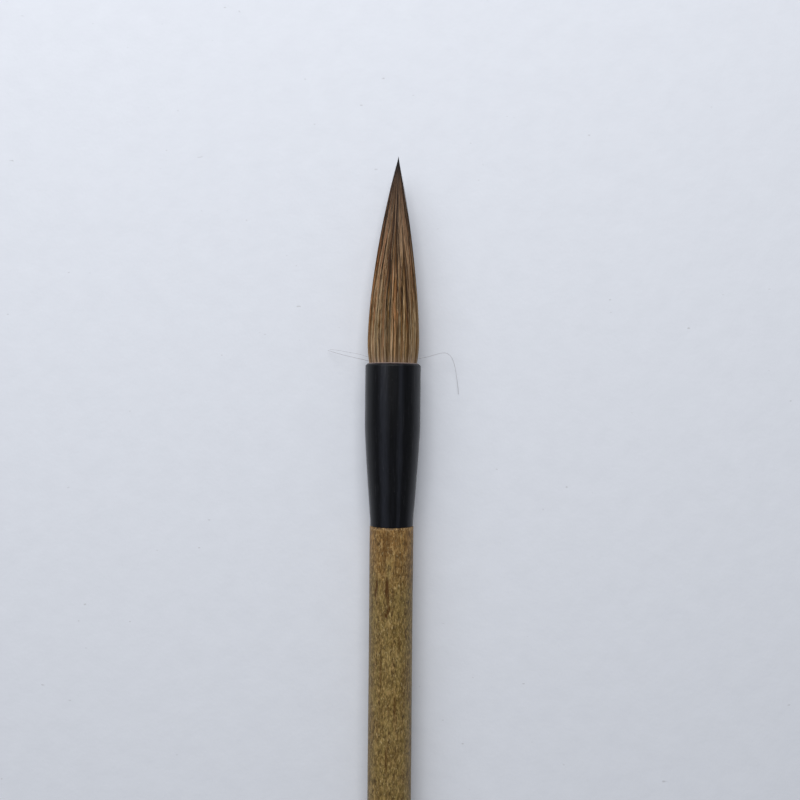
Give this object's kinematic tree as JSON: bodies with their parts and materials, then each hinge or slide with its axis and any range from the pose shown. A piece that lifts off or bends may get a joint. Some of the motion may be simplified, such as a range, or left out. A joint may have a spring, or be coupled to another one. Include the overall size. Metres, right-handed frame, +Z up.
{
  "type": "calligraphy brush",
  "caption": "Large pointed calligraphy brush: a flexing brown hair tuft in a black tapering ferrule, on a slim mottled bamboo handle with a black end cap.",
  "frame": {"origin": "under the middle of the brush, on the surface that the brush lies on", "axes": "+Y along the brush towards the tip of the hair, +Z up, +X to the right when the tip points away"},
  "size_m": [0.014, 0.29, 0.014],
  "materials": {
    "black_lacquer": "satin",
    "bamboo": "satin",
    "coat_hair": "satin",
    "core_hair": "matte",
    "linen_thread": "matte",
    "root_resin": "satin"
  },
  "bodies": {
    "holder": {"ferrule": "black_lacquer", "handle_tube": "bamboo", "end_cap": "black_lacquer", "hip_core": "core_hair", "hip_coat": "coat_hair", "core_binding": "linen_thread", "coat_binding": "linen_thread", "root_seal": "root_resin"},
    "belly": {"belly_core": "core_hair", "belly_coat": "coat_hair"},
    "throat": {"throat_core": "core_hair", "throat_coat": "coat_hair"},
    "point": {"point_core": "core_hair", "point_coat": "coat_hair"}
  },
  "joints": [
    {"name": "belly_bend", "type": "hinge", "parent": "holder", "child": "belly", "pos_m": [0, 0.0962, 0.007], "axis": [0, 0, 1], "range_deg": [-20, 20], "stiffness_Nm_per_rad": 0.02},
    {"name": "throat_bend", "type": "hinge", "parent": "belly", "child": "throat", "pos_m": [0, 0.1117, 0.007], "axis": [0, 0, 1], "range_deg": [-25, 25], "stiffness_Nm_per_rad": 0.008},
    {"name": "point_bend", "type": "hinge", "parent": "throat", "child": "point", "pos_m": [0, 0.1267, 0.007], "axis": [0, 0, 1], "range_deg": [-30, 30], "stiffness_Nm_per_rad": 0.003}
  ]
}
